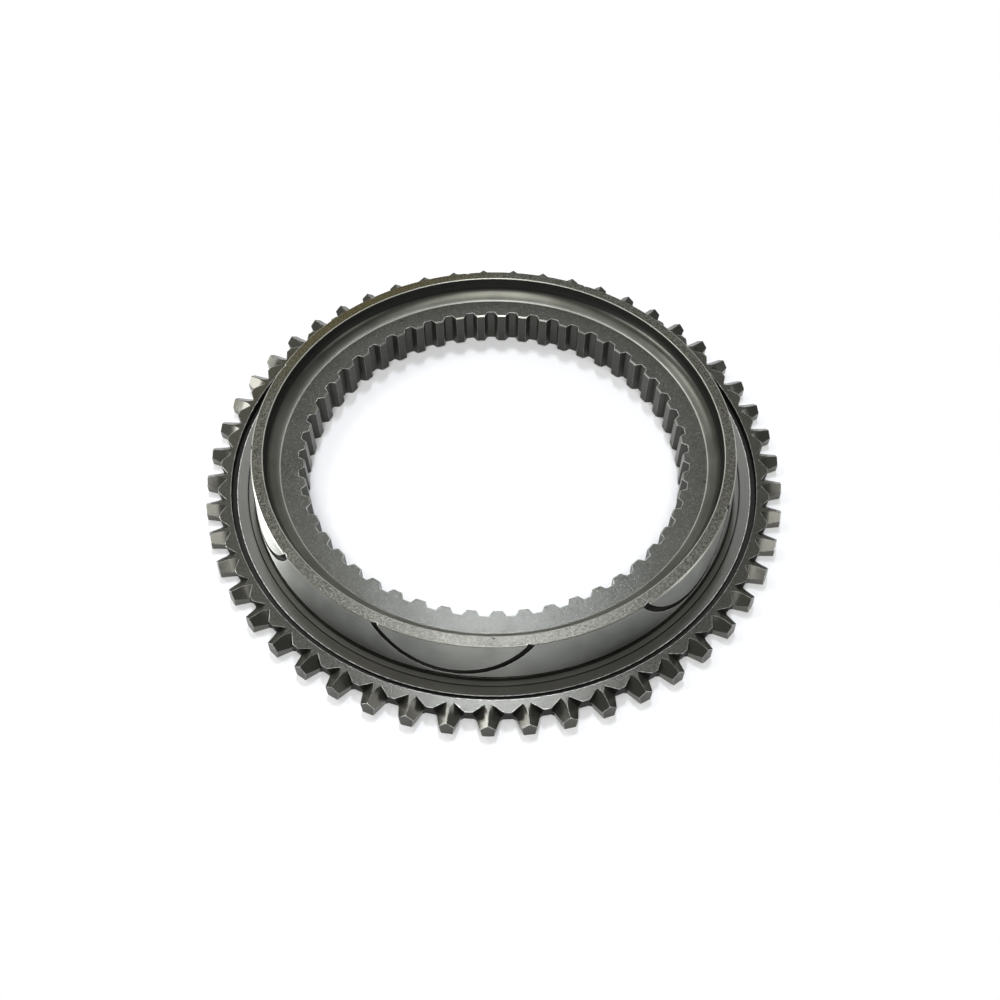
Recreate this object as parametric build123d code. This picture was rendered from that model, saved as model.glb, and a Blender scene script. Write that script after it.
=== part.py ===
"""Clutch body ring of a gearbox synchroniser: one steel forging, turned, milled and ground.

A flat ring carries pointed dog teeth outside. A friction cone stands on it, with six curved
oil grooves, and a web inside the cone carries an internal involute spline.

Lengths are in millimetres. +Z points up out of the cone, the flat back face lies on Z = 0, the
ring's axis is Z, and one dog tooth is centred on +X.
"""
import os
from math import acos, cos, degrees, radians, sin, tan

from build123d import *

# Dog teeth, outside. Their back face is Z = 0 and the flat face lies dog_thickness above it. The
# tip radius sizes the whole ring: every other radius is worked out from it, from outside to
# inside, with the heights and widths below.
dog_teeth = 51
dog_thickness = 4.55
dog_tip_radius = 78.25
dog_tip_draft = 6.0
dog_height = 3.75
dog_shoulder_half_width = 1.35
dog_flank_angle = 20.0
dog_back_taper = 6.0
dog_root_chamfer = 0.55

# Pointed roof of each dog tooth
roof_angle = 40.0
roof_ridge_half_width = 0.08
roof_level_length = 3.05
roof_runout_radius = 7.4
roof_runout_steps = 2

# Pockets in the flat face, one on each side of the neck behind a tooth. Over its length the neck
# narrows to the ridge of the roof.
pocket_depth = 2.2
pocket_neck_half_width = 0.8
pocket_neck_length = 2.3
pocket_mouth_half_width = 0.84
pocket_corner_chamfer = 0.3

# Ring groove, flat_face_width inside the roots of the teeth, and the land between it and the
# cone, which slopes in two parts. Depths and drops are below the flat face.
flat_face_width = 3.34
ring_groove_width = 1.42
ring_groove_depth = 2.1
land_outer_width = 2.84
land_outer_drop = 1.1
land_step_drop = 1.7
land_step_height = 0.12
land_inner_width = 1.65
land_edge_drop = 1.86

# Friction cone, with the relief at its foot. The rim stands rim_rise above the flat face.
cone_foot_clearance = 0.3
cone_half_angle = 5.5
rim_rise = 11.5
rim_wall = 3.1
rim_outer_chamfer = 0.32
rim_inner_chamfer = 0.2
relief_depth = 0.5
relief_height = 1.1

# Inside of the cone, and the web, which stands web_rise above the flat face
wall_draft = 1.0
web_rise = 5.75
web_width = 8.4
web_fillet = 3.4
web_fillet_steps = 3
web_step_height = 0.3
web_step_width = 0.25

# Oil grooves, milled in arcs across the cone. The middle of each arc dips to oil_groove_rise above
# the flat face.
oil_groove_count = 6
oil_groove_phase = 20.14
oil_groove_width = 1.65
oil_groove_depth = 0.95
oil_groove_chamfer = 0.45
oil_groove_arc_radius = 21.0
oil_groove_rise = 0.45

# Internal involute spline. Its teeth stand spline_tip_height inside the pitch circle, and the
# spaces between them are cut spline_root_depth outside it.
spline_teeth = 51
spline_pressure_angle = 30.0
spline_tip_height = 0.35
spline_root_depth = 1.3
spline_space_width = 3.64
spline_chamfer = 0.35
spline_chamfer_angle = 45.0
spline_phase = -1.53

# How far a cutter reaches past the metal that it cuts, and the metal that the lathe leaves for
# the tooth cutters on the tips of both kinds of teeth
overrun = 1.5
turning_allowance = 0.5

# Heights above the back face
land_edge_height = dog_thickness - land_edge_drop
cone_foot_height = land_edge_height + relief_height
rim_height = dog_thickness + rim_rise
cone_top_height = rim_height - rim_outer_chamfer
web_height = dog_thickness + web_rise

# Radii, from outside to inside. The spline comes to a module of 2.
dog_root_radius = dog_tip_radius - dog_height
roof_runout_start = dog_tip_radius - roof_level_length
groove_outer_radius = dog_root_radius - flat_face_width
groove_inner_radius = groove_outer_radius - ring_groove_width
land_step_radius = groove_inner_radius - land_outer_width
land_edge_radius = land_step_radius - land_inner_width
cone_foot_radius = land_edge_radius - cone_foot_clearance
cone_rim_radius = cone_foot_radius - (cone_top_height - cone_foot_height) * tan(radians(cone_half_angle))
rim_inner_radius = cone_rim_radius - rim_wall
spline_root_radius = rim_inner_radius - web_width
spline_pitch_radius = spline_root_radius - spline_root_depth
spline_tip_radius = spline_pitch_radius - spline_tip_height


def polar(radius, angle, height=0.0):
    """Point at a radius, an angle in degrees and a height."""
    return Vector(radius * cos(radians(angle)), radius * sin(radians(angle)), height)


def cone_radius(height):
    """Radius of the friction cone at a height."""
    return cone_foot_radius - (height - cone_foot_height) * tan(radians(cone_half_angle))


def turned_blank():
    """The forging as it leaves the lathe, before any tooth, spline or oil groove is cut."""
    groove_floor = dog_thickness - ring_groove_depth
    relief_floor = land_edge_height - relief_depth
    relief_inner = cone_foot_radius - relief_depth
    fillet_floor = web_height + web_step_height
    wall_rise = rim_rise - web_rise - web_step_height - web_fillet
    wall_foot = rim_inner_radius - wall_rise * tan(radians(wall_draft))
    step_outer = wall_foot - web_fillet
    blank_radius = dog_tip_radius + turning_allowance
    bore_radius = spline_tip_radius - turning_allowance
    rounding = []
    for step in range(web_fillet_steps + 1):
        turn = radians(90.0 * step / web_fillet_steps)
        rounding.append((step_outer + web_fillet * sin(turn), fillet_floor + web_fillet * (1 - cos(turn))))

    with BuildSketch(Plane.XZ) as section:
        with BuildLine():
            Polyline(
                *rounding,
                (rim_inner_radius, rim_height - rim_inner_chamfer),
                (rim_inner_radius + rim_inner_chamfer, rim_height),
                (cone_rim_radius - rim_outer_chamfer, rim_height),
                (cone_rim_radius, cone_top_height),
                (cone_foot_radius, cone_foot_height),
                (relief_inner, cone_foot_height - relief_depth),
                (relief_inner, relief_floor),
                (land_edge_radius, land_edge_height),
                (land_step_radius, dog_thickness - land_step_drop - land_step_height),
                (land_step_radius, dog_thickness - land_step_drop),
                (groove_inner_radius, dog_thickness - land_outer_drop),
                (groove_inner_radius, groove_floor),
                (groove_outer_radius, groove_floor),
                (groove_outer_radius, dog_thickness),
                (blank_radius, dog_thickness),
                (blank_radius, 0),
                (bore_radius, 0),
                (bore_radius, web_height),
                (step_outer - web_step_width, web_height),
                close=True,
            )
        make_face()
    return revolve(section.sketch, Axis.Z)


def tip_cutter():
    """Cutter for the end of the dog tooth on +X. The end leans in towards the flat face."""
    lean = tan(radians(dog_tip_draft))
    low = dog_tip_radius + overrun * lean
    high = dog_tip_radius - (dog_thickness + overrun) * lean
    far = dog_tip_radius + overrun
    width = 2 * far * tan(radians(180.0 / dog_teeth))
    top = dog_thickness + overrun
    outline = Polyline((low, -overrun), (far, -overrun), (far, top), (high, top), close=True)
    return extrude(Plane.XZ * make_face(outline), width / 2, both=True)


def bore_cutter():
    """Cutter for the bore through the spline, with a lead-in at both ends. It has one flat for
    each spline tooth."""
    pitch = 360.0 / spline_teeth

    def bore(radius):
        corner = radius / cos(radians(pitch / 2))
        corners = [polar(corner, spline_phase + pitch * index, -overrun) for index in range(spline_teeth)]
        return make_face(Polyline(*corners, close=True))

    through = extrude(bore(spline_tip_radius), web_height + 2 * overrun)
    slope = tan(radians(spline_chamfer_angle))
    mouth = bore(spline_tip_radius + spline_chamfer + overrun * slope)
    lead_in = extrude(mouth, overrun + spline_chamfer / slope, taper=spline_chamfer_angle)
    return [through, lead_in, mirror(lead_in, about=Plane.XY.offset(web_height / 2))]


def gap_cutter():
    """Cutter for the gap between two dog teeth, centred on +X. It narrows upwards, so each tooth
    is wider near the flat face than at its back."""
    half_pitch = 180.0 / dog_teeth
    flank = radians(dog_flank_angle)
    lean = tan(radians(dog_back_taper))
    far = dog_tip_radius + overrun
    root = dog_root_radius - (dog_thickness + overrun) * lean
    shoulder = dog_shoulder_half_width - overrun * lean / cos(flank)
    tooth_axis = polar(1.0, half_pitch)
    side = polar(1.0, half_pitch - 90.0)

    def on_flank(radius):
        half_width = shoulder + (dog_tip_radius - radius) * tan(flank)
        return tooth_axis * radius + side * half_width

    corner = on_flank(root)
    end = on_flank(far)
    outline = Polyline((root, -corner.Y), (end.X, -end.Y), (end.X, end.Y), (root, corner.Y), close=True)
    plan = make_face(outline)
    plan = chamfer(plan.vertices().sort_by(Axis.X)[:2], dog_root_chamfer)
    return extrude(Plane.XY.offset(-overrun) * plan, dog_thickness + 2 * overrun, taper=dog_back_taper)


def roof_clearance(tooth_angle, towards):
    """Space above one facet of the roof of the tooth at tooth_angle. towards is +1 or -1: the
    side that the facet falls to. Near the root the facet runs out upwards along the chords of an
    arc, which ends at the apex of the pocket."""
    apex = dog_root_radius - pocket_depth
    inner = apex - overrun
    outer = dog_tip_radius + overrun
    slope = radians(roof_angle)
    reach = polar(outer, 360.0 / dog_teeth).Y / cos(slope)
    ridge = (0, roof_ridge_half_width, 0)
    across = Plane(origin=ridge, x_dir=(1, 0, 0), z_dir=(0, -cos(slope), sin(slope)))
    runout = []
    for step in range(roof_runout_steps + 1):
        back = (roof_runout_start - apex) * step / roof_runout_steps
        rise = roof_runout_radius - (roof_runout_radius**2 - back**2) ** 0.5
        runout.append((roof_runout_start - back, rise))
    last_slope = (runout[-1][1] - runout[-2][1]) / (runout[-2][0] - runout[-1][0])
    runout[-1] = (inner, runout[-1][1] + overrun * last_slope)
    outline = Polyline(*runout, (inner, reach), (outer, reach), (outer, 0), close=True)
    clearance = extrude(across * make_face(outline), -reach)
    if towards < 0:
        clearance = mirror(clearance, about=Plane.XZ)
    return Rot(0, 0, tooth_angle) * Pos(0, 0, dog_thickness) * clearance


def pocket_cutter():
    """Cutter for the two roof facets that face one gap, with the pockets in the flat face that
    they run into. The gap is centred on +X."""
    half_pitch = 180.0 / dog_teeth
    apex_radius = dog_root_radius - pocket_depth
    neck = polar(apex_radius, half_pitch) + polar(pocket_neck_half_width, half_pitch - 90)
    ridge = polar(apex_radius + pocket_neck_length, half_pitch)
    far = polar(dog_tip_radius + overrun, half_pitch)
    outline = Polyline(
        (dog_root_radius, pocket_mouth_half_width),
        (dog_root_radius, -pocket_mouth_half_width),
        (neck.X, -neck.Y),
        (ridge.X, -ridge.Y),
        (far.X, -far.Y),
        (far.X, far.Y),
        (ridge.X, ridge.Y),
        (neck.X, neck.Y),
        close=True,
    )
    plan = make_face(outline)
    plan = chamfer(plan.vertices().sort_by(Axis.X)[:2], pocket_corner_chamfer)
    column = extrude(plan, dog_thickness + overrun)
    return column & roof_clearance(-half_pitch, 1) & roof_clearance(half_pitch, -1)


def involute(angle):
    """Involute function of an angle in radians."""
    return tan(angle) - angle


def spline_space_cutter():
    """Cutter for one space of the internal spline, centred on +X. Each flank runs straight between
    two points of the involute, which bulges by less than 0.03 from it over so short a tooth."""
    pressure = radians(spline_pressure_angle)
    base_radius = spline_pitch_radius * cos(pressure)

    def on_flank(radius):
        roll = involute(pressure) - involute(acos(base_radius / radius))
        return polar(radius, degrees(spline_space_width / 2 / spline_pitch_radius + roll))

    tip = on_flank(spline_tip_radius)
    root = on_flank(spline_root_radius)
    mouth = tip + (tip - root)
    outline = Polyline(
        (mouth.X, -mouth.Y),
        (root.X, -root.Y),
        (root.X, root.Y),
        (mouth.X, mouth.Y),
        close=True,
    )
    plan = Plane.XY.offset(-overrun) * make_face(outline)
    return extrude(plan, web_height + 2 * overrun)


def oil_groove_cutter():
    """Cutter for one arc-shaped oil groove, centred on +X. The arc dips to its low point in the
    middle and leaves the cone through the rim at both ends. Its floor follows the cone."""
    low = dog_thickness + oil_groove_rise
    centre_height = low + oil_groove_arc_radius
    top = rim_height + overrun
    inner = oil_groove_arc_radius - oil_groove_width / 2
    outer = oil_groove_arc_radius + oil_groove_width / 2
    facing = Plane(origin=(rim_inner_radius, 0, centre_height), x_dir=(0, 1, 0), z_dir=(1, 0, 0))
    band = Circle(outer) - Circle(inner)
    below_top = Pos(0, top - centre_height - outer) * Rectangle(2 * outer, 2 * outer)
    tube = extrude(facing * (band & below_top), cone_radius(0) - rim_inner_radius)
    sink = oil_groove_depth / cos(radians(cone_half_angle))
    upright = (Align.CENTER, Align.CENTER, Align.MIN)
    core = Cone(cone_radius(0) - sink, cone_radius(top) - sink, top, align=upright)
    cutter = tube - core
    floor = cutter.faces().filter_by(GeomType.CONE)[0]
    walls = floor.edges().sort_by(SortBy.LENGTH)[-2:]
    return chamfer(walls, oil_groove_chamfer)


def around_axis(cutter, count, phase):
    """Copies of a cutter at equal steps round the axis, the first turned by phase degrees."""
    return [Rot(0, 0, phase + 360.0 * index / count) * cutter for index in range(count)]


def clutch_body_ring():
    """The finished ring."""
    half_pitch = 180.0 / dog_teeth
    ring = turned_blank()
    ring = ring.cut(*around_axis(tip_cutter(), dog_teeth, 0))
    ring = ring.cut(*around_axis(gap_cutter(), dog_teeth, half_pitch))
    ring = ring.cut(*around_axis(pocket_cutter(), dog_teeth, half_pitch))
    ring = ring.cut(*bore_cutter())
    ring = ring.cut(*around_axis(spline_space_cutter(), spline_teeth, spline_phase))
    return ring.cut(*around_axis(oil_groove_cutter(), oil_groove_count, oil_groove_phase))


os.makedirs("parts", exist_ok=True)
ring = clutch_body_ring()
ring.label = "clutch_body_ring"
export_step(ring, "parts/clutch_body_ring.step")
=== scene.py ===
"""Studio picture of the clutch body ring: a hardened steel ring with pointed dog teeth, lying on its
back on a white table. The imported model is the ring. This script gives it its rounded edges and its
finishes, and adds the table, the lights and the camera."""
import math

import bpy
from mathutils import Matrix, Quaternion, Vector


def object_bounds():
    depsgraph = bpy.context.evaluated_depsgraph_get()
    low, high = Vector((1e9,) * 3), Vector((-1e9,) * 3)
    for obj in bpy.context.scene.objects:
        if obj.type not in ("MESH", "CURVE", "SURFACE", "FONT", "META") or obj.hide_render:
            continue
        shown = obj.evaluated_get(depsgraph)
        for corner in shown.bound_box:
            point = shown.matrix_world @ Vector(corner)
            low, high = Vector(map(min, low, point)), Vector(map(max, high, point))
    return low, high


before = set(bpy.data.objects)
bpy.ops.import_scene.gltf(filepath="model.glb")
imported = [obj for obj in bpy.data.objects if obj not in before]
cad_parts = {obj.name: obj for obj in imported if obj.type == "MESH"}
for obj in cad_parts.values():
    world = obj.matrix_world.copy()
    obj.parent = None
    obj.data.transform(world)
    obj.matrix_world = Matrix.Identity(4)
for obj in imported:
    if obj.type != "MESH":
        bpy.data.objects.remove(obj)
cad_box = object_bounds()

MM = 0.001
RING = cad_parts["clutch_body_ring"]

# Heights, widths and radii of the ring's surfaces, in mm, and the cone's angle in degrees. The
# first two are those of its box.
RIM_HEIGHT = cad_box[1][2] / MM
DOG_TIP_RADIUS = cad_box[1][0] / MM
DOG_ROOT_RADIUS = 74.5
FLAT_FACE_HEIGHT = 4.55
GROOVE_OUTER_RADIUS = 71.16
GROOVE_INNER_RADIUS = 69.74
LAND_STEP_RADIUS = 66.9
LAND_EDGE_RADIUS = 65.25
CONE_RIM_RADIUS = 63.8
CONE_FOOT_HEIGHT = 3.79
CONE_HALF_ANGLE = 5.5
DARK_BAND_FOOT_HEIGHT = 12.3
FILLET_INNER_RADIUS = 57.26
WEB_STEP_WIDTH = 0.25
WEB_HEIGHT = 10.3

# How far from its surface's height or radius the middle of a face may lie, in mm
CLOSE = 0.02
CLOSE_ON_ROUND = 0.1
TOOTH_END_REACH = 1.0
OIL_GROOVE_REACH = 1.8
RELIEF_REACH = 1.2
CONE_CHAMFER_REACH = 0.4

# Shares of a face's direction that point up or outward, where 1 is straight up or outward
LEVEL = 0.99
UPRIGHT = 0.95
NEARLY_STRAIGHT = 0.9
SLANTED = 0.6
HALF_UP = 0.5
STEEP = 0.3

# Corners of the mesh: how close points are joined, in mm, from which angle a corner stays sharp,
# in degrees, and how much large faces count in the shading
MERGE_DISTANCE = 0.002
CORNER_ANGLE = 33
FLAT_WEIGHT = 90

# Worn edges with a painted highlight, painted shade in the corners, painted dark lines and stain, in
# mm
EDGE_ROUNDING = 0.18
EDGE_WEAR_HIGHLIGHT_REACH = 0.3
CORNER_REACH = 1.6
DARK_LINE_CORE = 0.12
DARK_LINE_REACH = 0.26
STAIN_START = 45
STAIN_FULL = 62
FAR_LEFT = (-0.6, 0.8, 0.0)     # the direction in which the stain's two distances are taken

# Sizes of the patterns, in mm. Real tool lines lie about 0.1 mm apart. They are drawn about three
# times as coarse, so that they show.
TOOL_LINE_SPACING = 0.3125
TOOL_LINE_HEIGHT = 0.02
GRAIN_HEIGHT = 0.06
WEAR_BREAK_LENGTH = 1.11
DIRT_SPOT_SPACING = 2.0
CLOUD_WIDTH = 9.1

# Strengths of the patterns
LIGHT_GRAIN_SHARE = 1.6         # light grains differ from the base by this much more than dark ones
TOOL_LINE_SHADE = 0.45
TOOL_LINE_RELIEF = 0.25
ROUGHNESS_SPREAD = 0.05
# Painted highlight: the worn edges are drawn less metallic, so that they show light from every side.
EDGE_WEAR_HIGHLIGHT_METALLIC = 0.5        # bare edges are half as metallic, so that they show from every side

WHITE = "#FFFFFF"
COOL_WHITE = "#F0F5FF"
# Painted light among these colours: the bare steel of the worn edges is partly a painted highlight,
# the corner colour is painted shade in the corners, and the near-black line colour is painted shade
# beside the relief and a dark line at the land's step.
EDGE_WEAR_HIGHLIGHT = "#E6E7E2"
THIN_OIL = "#2A2920"
PAINTED_CORNER_SHADE = "#15140F"
DARK_LINE = "#0C0B09"
YELLOW_OIL = "#4A4220"
DIRT = "#14130F"

# White table, in mm. The gap keeps the table's face apart from the ring's back.
TABLE_WIDTH = 3000
TABLE_GAP = 0.02
SHADOW_END = 82
WHITE_START = 115

# The photograph's camera, fitted to the ring's circles, in degrees, mm and pixels
CAMERA_ELEVATION = 51.33
CAMERA_TURN = -0.507
CAMERA_ROLL = -0.28
CAMERA_DISTANCE = 273.9
SENSOR_WIDTH = 36.0
PICTURE_WIDTH = 1000
FOCAL_LENGTH = 998.6
AIM_ACROSS = 494.06
AIM_DOWN = 460.02


def colour(code, share=1.0):
    """sRGB hex colour as the linear colour that shaders take, darkened or lightened by a share"""
    parts = [int(code[i:i + 2], 16) / 255 for i in (1, 3, 5)]
    linear = [p / 12.92 if p <= 0.04045 else ((p + 0.055) / 1.055) ** 2.4 for p in parts]
    return (*[min(1.0, p * share) for p in linear], 1.0)


def add(tree, kind, inputs=None, out=0, **settings):
    """Adds a node with its settings. An input is a value or the output that feeds it. Gives back
    the output with the number or name out, or the node if it has none."""
    node = tree.nodes.new(kind)
    for name, value in settings.items():
        setattr(node, name, value)
    for name, value in (inputs or {}).items():
        if isinstance(value, bpy.types.NodeSocket):
            tree.links.new(value, node.inputs[name])
        else:
            node.inputs[name].default_value = value
    return node.outputs[out] if node.outputs else node


def lay_over(tree, tone, over, value, low, high, at_low=0.0, at_high=1.0):
    """Lays a second colour over the tone, at_low of it where the value is low and at_high of it
    where the value is high"""
    share = add(tree, "ShaderNodeMapRange", {"Value": value, "From Min": low, "From Max": high,
                                             "To Min": at_low, "To Max": at_high})
    return add(tree, "ShaderNodeMix", {0: share, 6: tone, 7: over}, out=2, data_type="RGBA")


def steel(name, base, roughness, metallic=0.6, grain=0.0, grain_size=0.35, relief=0.0, turning=0.0,
          worn_edge_highlight=0.9, corner_shade=0.4, cloud=0.15, brushed=0.0, dark_lines=(), stain=0.0, specks=0.0,
          shine=0.5):
    """Steel finish. grain is the strength of the blasted mottle, grain_size its size in mm and
    relief its height; turning is the strength of the tool lines round the axis; worn_edge_highlight
    is how light the edges are drawn, as wear with a painted highlight; corner_shade is how dark the
    painted shade in the corners is; cloud is the slow change of tone; brushed is how far the
    grinding draws out the highlights; dark_lines holds the radii at which a dark line is painted,
    painted shade where it lies beside a recess; stain is the film of yellow oil at the far left;
    specks is how dark the few spots of dirt are; shine is the gloss of the skin."""
    finish = bpy.data.materials.new(name)
    finish.use_nodes = True
    tree = finish.node_tree
    tree.nodes.clear()

    # The point's place on the ring, in mm
    point = add(tree, "ShaderNodeTexCoord", out="Object")
    place = add(tree, "ShaderNodeVectorMath", {0: point, "Scale": 1 / MM}, operation="SCALE")
    level = add(tree, "ShaderNodeVectorMath", {0: place, 1: (1, 1, 0)}, operation="MULTIPLY")
    radius = add(tree, "ShaderNodeVectorMath", {0: level}, out="Value", operation="LENGTH")

    # How near it lies to an outer edge and to an inner corner, and the noises: the blasted mottle,
    # the slow clouds in the tone and the breaks in the worn edges and their painted highlight
    edge = add(tree, "ShaderNodeAmbientOcclusion", {"Distance": EDGE_WEAR_HIGHLIGHT_REACH * MM}, out="AO",
               samples=8, inside=True, only_local=True)
    corner = add(tree, "ShaderNodeAmbientOcclusion", {"Distance": CORNER_REACH * MM}, out="AO",
                 samples=8, only_local=True)
    mottle = add(tree, "ShaderNodeTexNoise",
                 {"Vector": place, "Scale": 1 / grain_size, "Detail": 3.0, "Roughness": 0.62})
    clouds = add(tree, "ShaderNodeTexNoise",
                 {"Vector": place, "Scale": 1 / CLOUD_WIDTH, "Detail": 2.0})
    breaks = add(tree, "ShaderNodeTexNoise",
                 {"Vector": place, "Scale": 1 / WEAR_BREAK_LENGTH, "Detail": 2.0})

    # Colour: the base metal, then what lies on it, with the painted corner shade, the worn edges
    # with their painted highlight and the painted dark lines on top
    dark_grain = colour(base, 1 - grain)
    light_grain = colour(base, 1 + LIGHT_GRAIN_SHARE * grain)
    tone = lay_over(tree, dark_grain, light_grain, mottle, low=0.37, high=0.63)
    tone = lay_over(tree, tone, colour(THIN_OIL), clouds, low=0.35, high=0.65, at_high=cloud)
    if specks:
        spots = add(tree, "ShaderNodeTexNoise",
                    {"Vector": place, "Scale": 1 / DIRT_SPOT_SPACING, "Detail": 1.0})
        tone = lay_over(tree, tone, colour(DIRT), spots, low=0.73, high=0.77, at_high=specks)
    if turning:
        lines = add(tree, "ShaderNodeTexNoise",
                    {"W": radius, "Scale": 1 / TOOL_LINE_SPACING, "Detail": 3.0, "Roughness": 0.75},
                    noise_dimensions="1D")
        tone = lay_over(tree, tone, colour(base, TOOL_LINE_SHADE), lines, low=0.35, high=0.65,
                        at_high=turning)
    if stain:
        far_left = add(tree, "ShaderNodeVectorMath", {0: place, 1: FAR_LEFT}, out="Value",
                       operation="DOT_PRODUCT")
        tone = lay_over(tree, tone, colour(YELLOW_OIL), far_left, STAIN_START, STAIN_FULL,
                        at_high=stain)
    # Painted shade: inner corners darken the more closed in they are.
    tone = lay_over(tree, tone, colour(PAINTED_CORNER_SHADE), corner, low=0.35, high=0.8, at_low=corner_shade,
                    at_high=0.0)
    # Worn edges drawn bare and light: wear, with a painted highlight that shows from every side.
    worn_highlight = add(tree, "ShaderNodeMapRange", {"Value": edge, "From Min": 0.55, "From Max": 0.85,
                                            "To Min": worn_edge_highlight, "To Max": 0.0})
    broken = add(tree, "ShaderNodeMapRange", {"Value": breaks, "From Min": 0.35, "From Max": 0.6,
                                              "To Min": 0.25, "To Max": 1.0})
    worn_highlight = add(tree, "ShaderNodeMath", {0: worn_highlight, 1: broken}, operation="MULTIPLY")
    tone = lay_over(tree, tone, colour(EDGE_WEAR_HIGHLIGHT), worn_highlight, low=0.0, high=1.0)
    # Dark lines painted at the given radii: painted shade beside the relief, and a plain dark line
    # at the land's step.
    for line_radius in dark_lines:
        off = add(tree, "ShaderNodeMath", {0: radius, 1: line_radius}, operation="SUBTRACT")
        off = add(tree, "ShaderNodeMath", {0: off}, operation="ABSOLUTE")
        tone = lay_over(tree, tone, colour(DARK_LINE), off, DARK_LINE_CORE, DARK_LINE_REACH,
                        at_low=1.0, at_high=0.0)

    # Relief: the smallest roundings catch the light along every edge, and the grain and the tool
    # lines break it up.
    normal = add(tree, "ShaderNodeBevel", {"Radius": EDGE_ROUNDING * MM}, samples=4)
    if relief:
        normal = add(tree, "ShaderNodeBump", {"Strength": relief, "Distance": GRAIN_HEIGHT * MM,
                                              "Height": mottle, "Normal": normal})
    if turning:
        normal = add(tree, "ShaderNodeBump", {"Strength": TOOL_LINE_RELIEF * turning,
                                              "Distance": TOOL_LINE_HEIGHT * MM,
                                              "Height": lines, "Normal": normal})

    # Gloss
    inputs = {"Base Color": tone, "Normal": normal, "Roughness": roughness,
              "Specular IOR Level": shine}
    if metallic:
        inputs["Metallic"] = add(tree, "ShaderNodeMapRange",
                                 {"Value": worn_highlight, "To Min": metallic,
                                  "To Max": EDGE_WEAR_HIGHLIGHT_METALLIC * metallic})
    if grain:
        inputs["Roughness"] = add(tree, "ShaderNodeMapRange",
                                  {"Value": mottle, "From Min": 0.3, "From Max": 0.7,
                                   "To Min": roughness - ROUGHNESS_SPREAD,
                                   "To Max": roughness + ROUGHNESS_SPREAD})
    if brushed:
        inputs["Anisotropic"] = brushed
        inputs["Anisotropic Rotation"] = 0.25
        inputs["Tangent"] = add(tree, "ShaderNodeTangent", direction_type="RADIAL", axis="Z")
    surface = add(tree, "ShaderNodeBsdfPrincipled", inputs)
    add(tree, "ShaderNodeOutputMaterial", {"Surface": surface})
    return finish


def ring_finishes():
    """Finishes of the ring's surfaces, by surface. The real ring's blasted grain is about 0.1 mm.
    It is drawn at 0.35 to 0.45 mm, so that it shows."""
    return {
        # Hardened and blasted: dark, with a fine mottle that shows only in the highlight
        "flat_face": steel("blasted_flat_face", "#46453F", 0.21, grain=0.25, grain_size=0.45,
                           relief=0.4, worn_edge_highlight=0.6, stain=0.2, specks=0.6),
        # Milled facets: smooth and dark, so that only a few of them flash, with worn outlines drawn
        # light as a painted highlight, and painted shade deep in the pockets' corners
        "tooth": steel("milled_dog_teeth", "#575650", 0.22, metallic=0.75, worn_edge_highlight=0.8, corner_shade=0.75,
                       cloud=0.05),
        # Turned before the teeth were cut: plain dark ends with bright outlines, worn and with a
        # painted highlight
        "tip": steel("turned_tooth_tips", "#4A4944", 0.3, worn_edge_highlight=1.0, corner_shade=0.2),
        # Forged skin left between the teeth, drawn matt black: painted shade between the teeth
        "tooth_root": steel("forged_tooth_roots_painted_shade", "#1A1916", 0.55, metallic=0.0, worn_edge_highlight=0.6,
                            shine=0.15),
        # Turned, out of the light and with oil in it: a black line
        "groove": steel("turned_ring_groove", "#1C1B17", 0.5, worn_edge_highlight=0.8),
        # Turned in two steps: fine tool lines, with a dark line painted at the step and painted
        # shade at the inner edge, beside the relief
        "land": steel("turned_land", "#5A5953", 0.42, metallic=0.5, grain=0.06, turning=0.25,
                      corner_shade=0.1, dark_lines=(LAND_STEP_RADIUS, LAND_EDGE_RADIUS)),
        # Ground round the axis: bare grey metal, whose highlights spread up and down
        "cone": steel("ground_cone", "#A2A4A0", 0.45, metallic=1.0, grain=0.03, worn_edge_highlight=0.8,
                      corner_shade=0.2, brushed=0.9),
        # Milled into the cone and full of oil: black arcs, with strong painted shade in their
        # corners. The relief at the cone's foot is turned, but holds the same oil and has this
        # finish too.
        "oil_groove": steel("milled_oil_grooves", "#1E1D1A", 0.45, worn_edge_highlight=0.3, corner_shade=0.9),
        # Blasted: a soft sheen with a visible mottle
        "rim": steel("blasted_rim", "#504F47", 0.27, grain=0.36, grain_size=0.45, relief=0.7,
                     stain=0.85, specks=0.6),
        # Turned edges with the bare metal showing: thin bright lines, partly a painted highlight
        "chamfer": steel("turned_chamfers", "#B4B4AB", 0.32, metallic=0.9, worn_edge_highlight=1.0, corner_shade=0.1),
        # Inner edges, rubbed bare by handling and drawn light: a thin line from every side, wear
        # with a painted highlight
        "inner_edge": steel("rubbed_inner_edges_painted_highlight", "#C2C2B8", 0.35, metallic=0.4, worn_edge_highlight=1.0,
                            corner_shade=0.1),
        # Forged skin, left as it was: a dark band. The fillet's upper strip takes it too, as painted
        # shade that ends the fillet's bright band sharply.
        "wall": steel("forged_wall_and_shaded_fillet_top", "#2B2B28", 0.4, worn_edge_highlight=0.3),
        # Turned and bright, so that it shows the ceiling as a band
        "fillet": steel("turned_web_fillet", "#66665F", 0.34, metallic=0.9, turning=0.1, corner_shade=0.1,
                        cloud=0.3),
        # Turned, then blasted with the rest: faint tool lines under a fine mottle
        "web": steel("turned_web", "#4E4E48", 0.24, metallic=0.4, grain=0.22, grain_size=0.42,
                     relief=0.6, turning=0.15, specks=0.6, shine=0.32),
        # Broached: smooth flanks with bright outlines, worn and with a painted highlight
        "spline": steel("broached_spline", "#40403C", 0.3, worn_edge_highlight=1.0),
        # Turned flat: plain grey with tool lines round the axis
        "back": steel("turned_back", "#5C5C56", 0.4, turning=0.3, worn_edge_highlight=0.3),
    }


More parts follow.
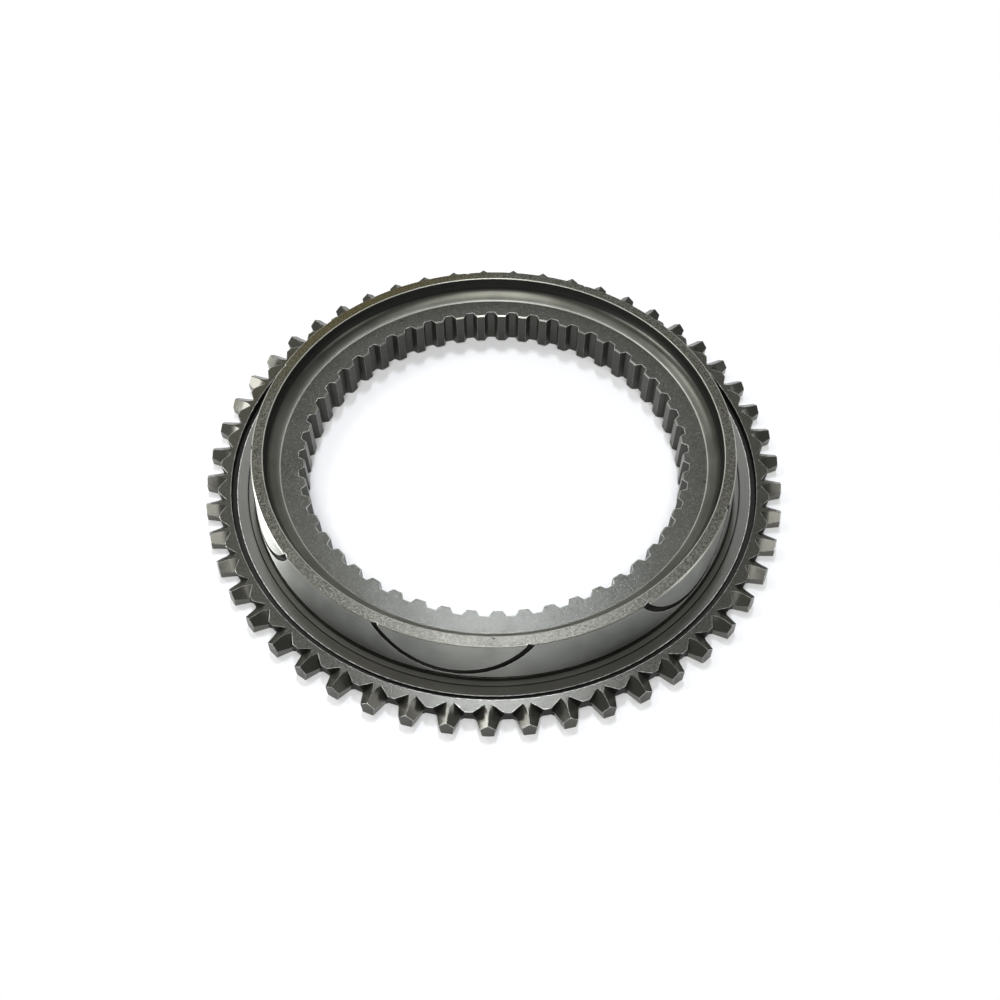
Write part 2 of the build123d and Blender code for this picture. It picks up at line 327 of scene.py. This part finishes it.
def surface_of(face):
    """Name of the surface that a face of the ring belongs to, from its place and its slope"""
    middle = face.center / MM
    radius = math.hypot(middle.x, middle.y)
    height = middle.z
    up = face.normal.z
    outward = (face.normal.x * middle.x + face.normal.y * middle.y) / radius
    cone = CONE_RIM_RADIUS + (RIM_HEIGHT - height) * math.tan(math.radians(CONE_HALF_ANGLE))
    if height < CLOSE:
        return "back"
    if radius > GROOVE_OUTER_RADIUS + CLOSE:
        if up > LEVEL and height > FLAT_FACE_HEIGHT - CLOSE:
            return "flat_face"
        if outward > NEARLY_STRAIGHT and radius > DOG_TIP_RADIUS - TOOTH_END_REACH:
            return "tip"
        low_between_teeth = radius < DOG_ROOT_RADIUS + TOOTH_END_REACH and up < STEEP
        return "tooth_root" if outward > SLANTED and low_between_teeth else "tooth"
    if radius > GROOVE_INNER_RADIUS - CLOSE:
        return "groove"
    if radius > LAND_EDGE_RADIUS - CLOSE_ON_ROUND and up > HALF_UP:
        return "land"
    beside_cone = CONE_FOOT_HEIGHT - RELIEF_REACH < height < RIM_HEIGHT - CLOSE
    if radius > CONE_RIM_RADIUS - OIL_GROOVE_REACH and beside_cone:
        if outward > UPRIGHT:
            return "cone" if abs(radius - cone) < CLOSE_ON_ROUND else "oil_groove"
        on_chamfer = up > SLANTED and outward > SLANTED and radius > cone - CONE_CHAMFER_REACH
        return "chamfer" if on_chamfer else "oil_groove"
    if height > RIM_HEIGHT - CLOSE:
        return "rim"
    # Painted shade: above this height the fillet's upper strip takes the dark wall finish.
    if height > DARK_BAND_FOOT_HEIGHT:
        return "inner_edge" if up > HALF_UP else "wall"
    if radius > FILLET_INNER_RADIUS - CLOSE:
        return "fillet"
    if radius > FILLET_INNER_RADIUS - WEB_STEP_WIDTH and height > WEB_HEIGHT + CLOSE:
        return "inner_edge"
    if up > NEARLY_STRAIGHT:
        return "web"
    return "chamfer" if up > STEEP else "spline"


def dress_ring():
    """Gives each face the finish of the surface that it belongs to."""
    finishes = ring_finishes()
    order = list(finishes)
    mesh = RING.data
    mesh.materials.clear()
    for name in order:
        mesh.materials.append(finishes[name])
    for face in mesh.polygons:
        face.material_index = order.index(surface_of(face))
        face.use_smooth = True


def round_ring():
    """Joins the faces where they meet, keeps the true corners sharp and shades the turned faces
    as round."""
    mesh = RING.data
    for name in ("custom_normal", "sharp_edge", "sharp_face"):
        if name in mesh.attributes:
            mesh.attributes.remove(mesh.attributes[name])
    tree = bpy.data.node_groups.new("corners_by_angle", "GeometryNodeTree")
    tree.interface.new_socket("Geometry", in_out="INPUT", socket_type="NodeSocketGeometry")
    tree.interface.new_socket("Geometry", in_out="OUTPUT", socket_type="NodeSocketGeometry")
    whole = add(tree, "NodeGroupInput")
    joined = add(tree, "GeometryNodeMergeByDistance",
                 {"Geometry": whole, "Distance": MERGE_DISTANCE * MM})
    angle = add(tree, "GeometryNodeInputMeshEdgeAngle", out="Unsigned Angle")
    gentle = add(tree, "FunctionNodeCompare", {"A": angle, "B": math.radians(CORNER_ANGLE)},
                 operation="LESS_THAN")
    shaded = add(tree, "GeometryNodeSetShadeSmooth", {"Geometry": joined, "Shade Smooth": gentle},
                 domain="EDGE")
    add(tree, "NodeGroupOutput", {0: shaded})
    corners = RING.modifiers.new("corners", "NODES")
    corners.node_group = tree
    flats = RING.modifiers.new("flats", "WEIGHTED_NORMAL")
    flats.keep_sharp = True
    flats.weight = FLAT_WEIGHT


def shown(tree):
    """1 for the camera's own rays and for those that metal and glass send on, 0 for all others"""
    camera = add(tree, "ShaderNodeLightPath", out="Is Camera Ray")
    metal = add(tree, "ShaderNodeLightPath", out="Is Glossy Ray")
    glass = add(tree, "ShaderNodeLightPath", out="Is Transmission Ray")
    either = add(tree, "ShaderNodeMath", {0: camera, 1: metal}, operation="MAXIMUM")
    return add(tree, "ShaderNodeMath", {0: either, 1: glass}, operation="MAXIMUM")


def white_table():
    """White table top that the ring lies on, wide enough to fill the picture. Beyond the ring's
    shadow it is plain white for the camera and in the metal."""
    bpy.ops.mesh.primitive_plane_add(size=TABLE_WIDTH * MM, location=(0, 0, -TABLE_GAP * MM))
    table = bpy.context.object
    table.name = "white_table"
    # Smooth white laminate: it takes the ring's soft shadow and a faint sheen
    finish = bpy.data.materials.new("smooth_white_laminate")
    finish.use_nodes = True
    tree = finish.node_tree
    tree.nodes.clear()
    place = add(tree, "ShaderNodeNewGeometry", out="Position")
    distance = add(tree, "ShaderNodeVectorMath", {0: place}, out="Value", operation="LENGTH")
    far = add(tree, "ShaderNodeMapRange", {"Value": distance, "From Min": SHADOW_END * MM,
                                           "From Max": WHITE_START * MM})
    far = add(tree, "ShaderNodeMath", {0: far, 1: shown(tree)}, operation="MULTIPLY")
    top = add(tree, "ShaderNodeBsdfPrincipled", {"Base Color": colour("#F7F7F7"), "Roughness": 0.4})
    white = add(tree, "ShaderNodeEmission", {"Color": colour(WHITE), "Strength": 1.0})
    surface = add(tree, "ShaderNodeMixShader", {0: far, 1: top, 2: white})
    add(tree, "ShaderNodeOutputMaterial", {"Surface": surface})
    table.data.materials.append(finish)


def towards(azimuth, elevation):
    """Direction from the ring: azimuth 0 is away from the camera and 90 is to the right."""
    turn, rise = math.radians(azimuth), math.radians(elevation)
    return Vector((math.sin(turn) * math.cos(rise), math.cos(turn) * math.cos(rise), math.sin(rise)))


def lamp(name, azimuth, elevation, distance, width, height, power, aim=(0, 0, 0), only_ring=False,
         tint=WHITE):
    """Soft lamp that faces a point of the ring from a direction. Lengths are in mm and the power
    is in watts."""
    data = bpy.data.lights.new(name, "AREA")
    data.shape = "RECTANGLE"
    data.size = width * MM
    data.size_y = height * MM
    data.energy = power
    data.color = colour(tint)[:3]
    light = bpy.data.objects.new(name, data)
    way = towards(azimuth, elevation)
    light.location = (Vector(aim) + way * distance) * MM
    light.rotation_mode = "QUATERNION"
    light.rotation_quaternion = way.to_track_quat("Z", "Y")
    light.visible_camera = False
    bpy.context.scene.collection.objects.link(light)
    if only_ring:
        lit = bpy.data.collections.new(name + "_lights")
        lit.objects.link(RING)
        light.light_linking.receiver_collection = lit


def room():
    """Light of the room: pale at the far side, dim at the sides and behind the camera, with a white
    wall low behind the ring. The camera itself sees plain white on every side."""
    world = bpy.data.worlds.new("room")
    bpy.context.scene.world = world
    world.use_nodes = True
    tree = world.node_tree
    tree.nodes.clear()
    way = add(tree, "ShaderNodeTexCoord", out="Generated")
    right = add(tree, "ShaderNodeSeparateXYZ", {0: way}, out="X")
    away = add(tree, "ShaderNodeSeparateXYZ", {0: way}, out="Y")
    up = add(tree, "ShaderNodeSeparateXYZ", {0: way}, out="Z")
    dim_left, dim_right, pale_far = colour("#686A68"), colour("#4E5052"), colour("#C4C6C4")
    sky = lay_over(tree, dim_left, dim_right, right, low=-0.8, high=0.6)
    sky = lay_over(tree, sky, pale_far, away, low=0.0, high=0.6)
    # The white wall behind the ring shows in its metal too.
    behind = add(tree, "ShaderNodeMapRange", {"Value": away, "From Min": 0.8, "From Max": 0.9})
    low_down = add(tree, "ShaderNodeMapRange", {"Value": up, "From Min": 0.3, "From Max": 0.2})
    wall = add(tree, "ShaderNodeMath", {0: behind, 1: low_down}, operation="MULTIPLY")
    wall = add(tree, "ShaderNodeMath", {0: wall, 1: shown(tree)}, operation="MULTIPLY")
    sky = lay_over(tree, sky, colour(WHITE), wall, low=0.0, high=1.0)
    seen = add(tree, "ShaderNodeLightPath", out="Is Camera Ray")
    sky = lay_over(tree, sky, colour(WHITE), seen, low=0.0, high=1.0)
    light = add(tree, "ShaderNodeBackground", {"Color": sky, "Strength": 1.0})
    add(tree, "ShaderNodeOutputWorld", {"Surface": light})


def picture_camera():
    """Camera of the photograph. It looks at the middle of the flat face's plane from the front,
    and the point that it looks at lies at AIM_ACROSS and AIM_DOWN in the picture."""
    rise = math.radians(CAMERA_ELEVATION)
    swing = Matrix.Rotation(math.radians(CAMERA_TURN), 3, "Z")
    back = swing @ Vector((0, -math.cos(rise), math.sin(rise)))
    target = Vector((0, 0, FLAT_FACE_HEIGHT * MM))
    data = bpy.data.cameras.new("camera")
    data.sensor_width = SENSOR_WIDTH
    data.lens = SENSOR_WIDTH * FOCAL_LENGTH / PICTURE_WIDTH
    data.clip_start = 0.01
    data.clip_end = 20.0
    camera = bpy.data.objects.new("camera", data)
    camera.location = target + back * CAMERA_DISTANCE * MM
    look = back.to_track_quat("Z", "Y")
    roll = Quaternion((0, 0, 1), math.radians(CAMERA_ROLL))
    middle = PICTURE_WIDTH / 2
    across = (AIM_ACROSS - middle) / FOCAL_LENGTH
    above = (middle - AIM_DOWN) / FOCAL_LENGTH
    offset = Vector((0, 0, -1)).rotation_difference(Vector((across, above, -1)).normalized())
    camera.rotation_mode = "QUATERNION"
    camera.rotation_quaternion = look @ roll @ offset.conjugated()
    bpy.context.scene.collection.objects.link(camera)
    bpy.context.scene.camera = camera


picture_camera()
dress_ring()
round_ring()
white_table()
room()
# The ceiling lamp makes the highlights on the level faces in front.
lamp("ceiling_lamp", azimuth=0, elevation=62.5, distance=1500, width=100, height=250, power=6.2,
     tint=COOL_WHITE)
# This one lights the facets at the back left.
lamp("back_left_soft", azimuth=-55, elevation=50, distance=1200, width=300, height=300, power=1.9)
# The front ceiling makes the table white and lights the facets in front.
lamp("front_soft_ceiling", azimuth=183, elevation=68, distance=1200, width=540, height=1100,
     power=10.6)
# The two cards make the highlights on the sides of the cone.
lamp("left_card", azimuth=-90, elevation=0, distance=76, width=42, height=90, power=0.13,
     aim=(-71, -6, 46), only_ring=True)
lamp("right_card", azimuth=102, elevation=20, distance=300, width=120, height=120, power=0.12,
     aim=(60, -40, 20), only_ring=True)
bpy.context.scene.view_settings.view_transform = "Standard"
